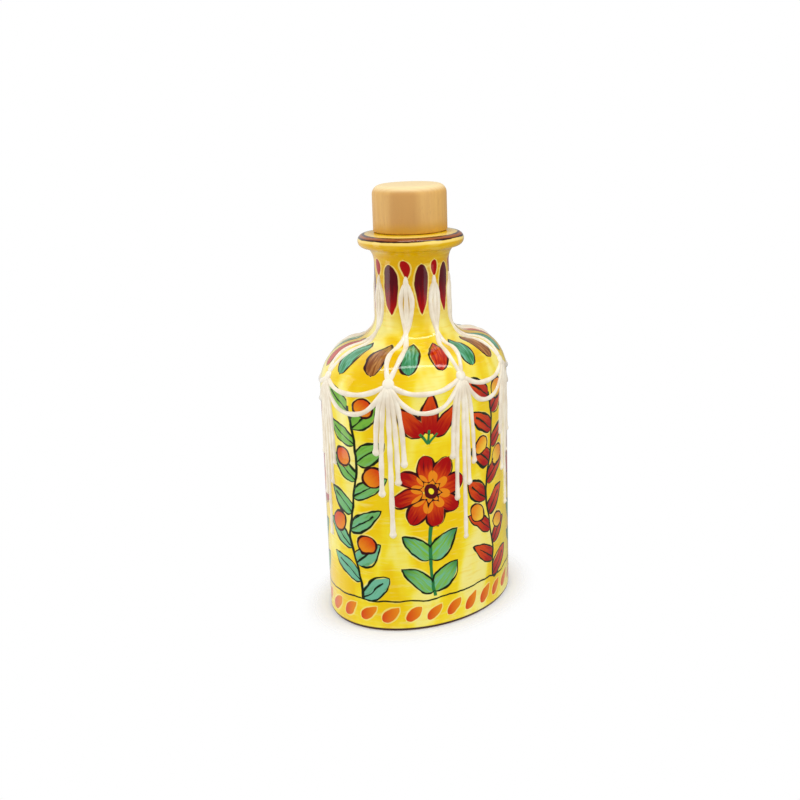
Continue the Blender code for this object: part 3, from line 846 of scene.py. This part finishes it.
KNOT_SIDES = 24
KNOT_STEPS = 5
bpy.ops.object.select_all(action="DESELECT")
bpy.ops.mesh.primitive_circle_add(vertices=KNOT_SIDES, radius=KNOT_RADIUS, fill_type="NGON")
dome = bpy.context.active_object
bpy.ops.object.mode_set(mode="EDIT")
bpy.ops.mesh.select_all(action="SELECT")
bpy.ops.transform.translate(value=(0, 0, -KNOT_RELIEF))
bpy.ops.mesh.extrude_region_move(TRANSFORM_OT_translate={"value": (0, 0, KNOT_RELIEF)})
for step in range(KNOT_STEPS):
    here, there = (math.pi / 2 * part / (KNOT_STEPS + 0.5) for part in (step, step + 1))
    rise = KNOT_RELIEF * (math.sin(there) - math.sin(here))
    bpy.ops.mesh.extrude_region_move(TRANSFORM_OT_translate={"value": (0, 0, rise)})
    narrower = math.cos(there) / math.cos(here)
    bpy.ops.transform.resize(value=(narrower, narrower, 1))
bpy.ops.object.mode_set(mode="OBJECT")
domes = [dome]
for tassel in range(1, PANELS):
    domes.append(dome.copy())
    domes[-1].data = dome.data.copy()
    bpy.context.scene.collection.objects.link(domes[-1])
for tassel, dome in enumerate(domes):
    knot = (tassel + 0.5) / PANELS
    turned = skin_normal(knot, KNOT_UP).to_track_quat("Z", "Y").to_matrix().to_4x4()
    dome.data.transform(Matrix.Translation(skin_point(knot, KNOT_UP)) @ turned)
    dome.select_set(True)
slip.select_set(True)
bpy.context.view_layer.objects.active = slip
bpy.ops.object.join()
bpy.ops.object.shade_smooth_by_angle(angle=SHARP_ANGLE)
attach(slip, "bottle")
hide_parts("bottle_body")

white_slip, slip_shader, place = new_finish("white_slip")
SLIP_WHITE = colour(253, 244, 224)
SLIP_SHADE = colour(240, 226, 202)
slip_colour = place.noise(160.0, 3.0, 0.5).ease(0.35, 0.7).blend(SLIP_WHITE, SLIP_SHADE)
feed(slip_shader, "Base Color", slip_colour)
slip_shader.inputs["Roughness"].default_value = 0.08
slip_shader.inputs["IOR"].default_value = GLAZE_IOR
slip.data.materials.append(white_slip)

# Stopper head: a block of pale beech turned on a lathe, with a soft top edge, a small chamfer below
# and a socket in its underside for the cork, sanded and lightly waxed. Its colour holds painted
# light:
# painted shade browner down the middle of the side that faces the camera, a painted reflection of
# the yellow lip in amber round its foot, and a painted highlight that makes the top paler.
HEAD_CHAMFER = 0.0006
HEAD_TOP_ROUND = 0.0042
SOCKET_RADIUS = 0.0113
SOCKET_DEPTH = 0.0050
ROUND_PARTS = 10
PITH = (0.034, 0.016)
SHADED_FRONT_REACH = (0.0529, 0.0543)
RING_SPACING = 0.0019
RING_WANDER = 0.0030
LIP_GLOW_RISE = (0.0008, 0.0062)
LIT_TOP_DEPTH = (0.0030, 0.0004)
NEAR = 0.0001
head_low, head_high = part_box("stopper_head")
HEAD_RADIUS = head_high.x


def only(piece, kind, wanted):
    """Selects the piece's faces or edges whose middle and normal, or two ends, are wanted."""
    bpy.ops.object.mode_set(mode="OBJECT")
    for part in [*piece.data.vertices, *piece.data.edges, *piece.data.polygons]:
        part.select = False
    if kind == "faces":
        for face in piece.data.polygons:
            face.select = wanted(face.center, face.normal)
    else:
        for line in piece.data.edges:
            line.select = wanted(*(piece.data.vertices[end].co for end in line.vertices))
    bpy.ops.object.mode_set(mode="EDIT")


def turned_block(name, radius, low, high):
    """A round block of wood or cork, as it comes off the lathe before it is shaped."""
    bpy.ops.object.select_all(action="DESELECT")
    bpy.ops.mesh.primitive_cylinder_add(
        vertices=SIDES, radius=radius, depth=high - low, location=(0, 0, (low + high) / 2)
    )
    block = bpy.context.active_object
    block.name = name
    bpy.ops.object.transform_apply(location=True, rotation=True, scale=True)
    bpy.ops.object.mode_set(mode="EDIT")
    bpy.ops.mesh.select_mode(type="EDGE")
    return block


head = turned_block("turned_head", HEAD_RADIUS, head_low.z, head_high.z)
only(head, "edges", lambda a, b: min(a.z, b.z) > head_high.z - NEAR)
bpy.ops.mesh.bevel(offset=HEAD_TOP_ROUND, segments=ROUND_PARTS)
only(head, "edges", lambda a, b: max(a.z, b.z) < head_low.z + NEAR)
bpy.ops.mesh.bevel(offset=HEAD_CHAMFER, segments=2)
bpy.ops.mesh.select_mode(type="FACE")
only(head, "faces", lambda middle, normal: normal.z < -0.9 and middle.z < head_low.z + NEAR)
bpy.ops.mesh.inset(thickness=HEAD_RADIUS - HEAD_CHAMFER - SOCKET_RADIUS)
bpy.ops.mesh.extrude_region_move(TRANSFORM_OT_translate={"value": (0, 0, SOCKET_DEPTH)})
bpy.ops.object.mode_set(mode="OBJECT")
bpy.ops.object.shade_smooth_by_angle(angle=SHARP_ANGLE)
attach(head, "stopper")
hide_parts("stopper_head")

beech, beech_shader, place = new_finish("beech")
PALE_WOOD = colour(230, 181, 101)
WARM_WOOD = colour(219, 166, 88)
LIT_TOP_WOOD = colour(253, 226, 170)
FLECK = colour(196, 146, 84)
SHADED_FRONT_WOOD = colour(208, 151, 80)
LIP_GLOW_WOOD = colour(214, 158, 26)
grain = place.stretched(1.0, 1.0, 0.06).noise(700.0, 4.0, 0.6)
clouds = place.stretched(1.0, 1.0, 0.5).noise(90.0, 2.0, 0.5)
flecks = place.stretched(1.0, 1.0, 0.18).noise(1500.0, 1.0, 0.4)
wood = (grain.ease(0.35, 0.65) * 0.35 + clouds.ease(0.3, 0.7) * 0.5).blend(PALE_WOOD, WARM_WOOD)
wood = (flecks.ease(0.62, 0.74) * 0.3).blend(wood, FLECK)
head_x = place.node("ShaderNodeSeparateXYZ", {}, {0: place}, "X")
head_y, head_up = head_x.output("Y"), head_x.output("Z")
from_pith = ((head_x - PITH[0]) ** 2.0 + (head_y - PITH[1]) ** 2.0) ** 0.5
# Painted shade: the middle of the side that faces the camera, farthest from the pith point, is made
# browner.
wood = (from_pith.ease(*SHADED_FRONT_REACH) * 0.75).blend(wood, SHADED_FRONT_WOOD)
# Painted reflection: the yellow lip's glow, painted in amber round the foot of the head.
lip_glow_low, lip_glow_high = (head_low.z + rise for rise in LIP_GLOW_RISE)
wood = head_up.ease(lip_glow_low, lip_glow_high, 0.75, 0.0).blend(wood, LIP_GLOW_WOOD)
# Painted highlight: the top face is made paler, as if lit from above.
lit_top_low, lit_top_high = (head_high.z - depth for depth in LIT_TOP_DEPTH)
wood = head_up.ease(lit_top_low, lit_top_high).blend(wood, LIT_TOP_WOOD)
growth_turn = (from_pith + clouds * RING_WANDER) * (math.tau / RING_SPACING)
late_growth = growth_turn.math("SINE").ease(0.2, 1.0)
wood = (late_growth * 0.10).blend(wood, FLECK)
feed(beech_shader, "Base Color", wood)
feed(beech_shader, "Roughness", grain * 0.2 + 0.38)
emboss(beech_shader, grain, 0.25, 0.0002)
head.data.materials.append(beech)

# Stopper shank: a plug of natural cork, ground to the neck's bore, with a chamfered end that leads
# it in. It is glued into the head's socket.
SHANK_CHAMFER = 0.0016
shank_low, shank_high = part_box("stopper_shank")
shank = turned_block("cork_shank", shank_high.x, shank_low.z, shank_high.z)
only(shank, "edges", lambda a, b: max(a.z, b.z) < shank_low.z + NEAR)
bpy.ops.mesh.bevel(offset=SHANK_CHAMFER, segments=2)
bpy.ops.object.mode_set(mode="OBJECT")
bpy.ops.object.shade_smooth_by_angle(angle=SHARP_ANGLE)
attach(shank, "stopper")
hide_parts("stopper_shank")

cork, cork_shader, place = new_finish("cork")
PALE_CORK = colour(214, 168, 112)
CORK_BROWN = colour(176, 122, 72)
PORE = colour(92, 56, 30)
cells = place.node(
    "ShaderNodeTexVoronoi", {"feature": "F1"}, {"Vector": place, "Scale": 900.0}, "Color"
)
cell_tone = cells.node("ShaderNodeSeparateColor", {}, {0: cells}, "Red")
pores = place.stretched(0.35, 1.0, 1.0).noise(520.0, 3.0, 0.6)
bark = cell_tone * 0.4 + place.noise(160.0, 3.0, 0.6) * 0.6
bark = bark.ease(0.25, 0.75).blend(PALE_CORK, CORK_BROWN)
bark = pores.ease(0.60, 0.68).blend(bark, PORE)
feed(cork_shader, "Base Color", bark)
cork_shader.inputs["Roughness"].default_value = 0.85
emboss(cork_shader, pores.ease(0.55, 0.7, 1.0, 0.0), 0.6, 0.0004)
shank.data.materials.append(cork)

# The camera stands where the photograph was taken from: a little above the stopper's height, off
# the oval's corner, and turned very slightly about its own line of sight.
CAMERA_PLACE = Vector((-0.4530, -0.3121, 0.2456))
CAMERA_AIM = Vector((-0.00426, 0.00601, 0.09665))
CAMERA_ROLL = 0.0343
CAMERA_LENS = 54.09
sight = (CAMERA_AIM - CAMERA_PLACE).normalized()
level_right = sight.cross(Vector((0, 0, 1))).normalized()
level_up = level_right.cross(sight)
view_right = level_right * math.cos(CAMERA_ROLL) - level_up * math.sin(CAMERA_ROLL)
view_up = level_up * math.cos(CAMERA_ROLL) + level_right * math.sin(CAMERA_ROLL)
lens = bpy.data.cameras.new("camera")
lens.lens = CAMERA_LENS
lens.sensor_width = 36
lens.clip_start = 0.01
camera = bpy.data.objects.new("camera", lens)
bpy.context.scene.collection.objects.link(camera)
camera.matrix_world = Matrix((
    *((view_right[n], view_up[n], -sight[n], CAMERA_PLACE[n]) for n in range(3)),
    (0, 0, 0, 1),
))
bpy.context.scene.camera = camera

# The studio: white paper that fades out before its edge, a white surround, dimmer at the right and
# dark in reflections of the room behind the camera, a long narrow soft box above, whose streak lies
# on the shoulder and the lip, one beside the bottle's left end, and one in front at the right.
FLOOR_RADIUS = 0.45
FLOOR_SIDES = 96
FLOOR_FADE = (0.85, 1.35)
PAPER_WHITE = (0.90, 0.90, 0.90, 1.0)
SURROUND = 0.80
ROOM_SHARE = 0.15
DIM_SHARE = 0.35
bpy.ops.object.select_all(action="DESELECT")
bpy.ops.mesh.primitive_circle_add(vertices=FLOOR_SIDES, radius=FLOOR_RADIUS, fill_type="NGON")
floor = bpy.context.active_object
floor.name = "floor"
paper, paper_shader, place = new_finish("white_paper")
paper_shader.inputs["Base Color"].default_value = PAPER_WHITE
paper_shader.inputs["Roughness"].default_value = 0.9
paper_shader.inputs["Specular IOR Level"].default_value = 0.0
ovals = place.stretched(1 / HALF_LENGTH, 1 / HALF_WIDTH, 1.0)
far = ovals.node("ShaderNodeVectorMath", {"operation": "LENGTH"}, {0: ovals}, "Value")
clear = place.node("ShaderNodeBsdfTransparent", {}, {})
shader_out = Tone(paper.node_tree, paper_shader.outputs["BSDF"])
fading = far.ease(*FLOOR_FADE)
mixed = fading.node("ShaderNodeMixShader", {}, {0: fading, 1: shader_out, 2: clear})
paper.node_tree.links.new(mixed.socket, paper.node_tree.nodes["Material Output"].inputs["Surface"])
floor.data.materials.append(paper)


def soft_box(name, place, aim, width, length, strength):
    """A flat lamp as studios use, turned to face the object. Its strength is in watts."""
    lamp = bpy.data.lights.new(name, "AREA")
    lamp.shape = "RECTANGLE"
    lamp.size = width
    lamp.size_y = length
    lamp.energy = strength
    holder = bpy.data.objects.new(name, lamp)
    bpy.context.scene.collection.objects.link(holder)
    holder.location = place
    holder.rotation_euler = (Vector(aim) - Vector(place)).to_track_quat("-Z", "Y").to_euler()


BOTTLE_MIDDLE = (0, 0, 0.10)
PAST_BOTTLE = (0.217, -0.208, 0.12)
soft_box("overhead", (0.06, -0.32, 0.77), PAST_BOTTLE, 1.0, 0.075, 2.0)
soft_box("left_strip", (-0.26, 0.26, 0.16), BOTTLE_MIDDLE, 0.12, 0.40, 0.25)
soft_box("right_front", (-0.02, -0.46, 0.24), BOTTLE_MIDDLE, 0.30, 0.40, 0.37)

world = bpy.data.worlds.new("studio")
bpy.context.scene.world = world
world.use_nodes = True
background = world.node_tree.nodes["Background"]
background.inputs["Color"].default_value = (1, 1, 1, 1)
start = Tone(world.node_tree)
direction = start.node("ShaderNodeTexCoord", {}, {}, "Generated")
room = direction.toward(-sight).ease(-0.7, 0.4, 1.0, ROOM_SHARE)
dim_side = direction.toward((level_right + sight).normalized()).ease(0.1, 0.9, 1.0, DIM_SHARE)
ray = start.node("ShaderNodeLightPath", {}, {}, "Is Camera Ray")
glossy = ray.output("Is Glossy Ray")
lit = (glossy * room + (1.0 - glossy) * SURROUND) * dim_side
feed(background, "Strength", lit.larger(ray).larger(ray.output("Is Transmission Ray")))
bpy.context.scene.view_settings.view_transform = "Standard"
